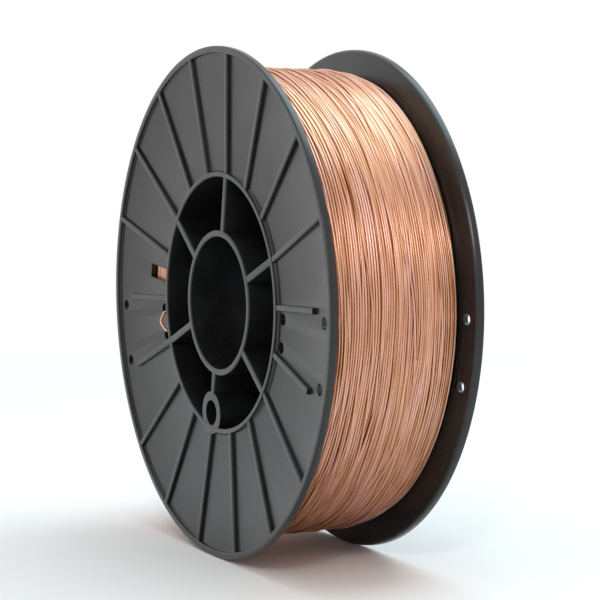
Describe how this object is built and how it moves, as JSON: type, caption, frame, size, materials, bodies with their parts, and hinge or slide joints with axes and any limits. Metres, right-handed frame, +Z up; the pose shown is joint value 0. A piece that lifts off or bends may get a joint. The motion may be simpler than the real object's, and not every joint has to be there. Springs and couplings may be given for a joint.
{
  "type": "mig welding wire spool",
  "caption": "Flanged plastic spool with a ribbed, spoked hub, wound full with fine copper-coated welding wire.",
  "frame": {"origin": "middle of the 52 mm bore, half way between the two rims", "axes": "+Y along the bore, from the flange with the wire's start at -Y to the plain flange; +Z up, with the spool standing on its rims"},
  "size_m": [0.2, 0.063, 0.2],
  "materials": {
    "spool": "fine moulded satin, dark grey",
    "wire": "drawn steel wire with a thin bright copper coat"
  },
  "bodies": {
    "root": {"spool": "spool", "wire_coil": "wire"}
  },
  "joints": []
}
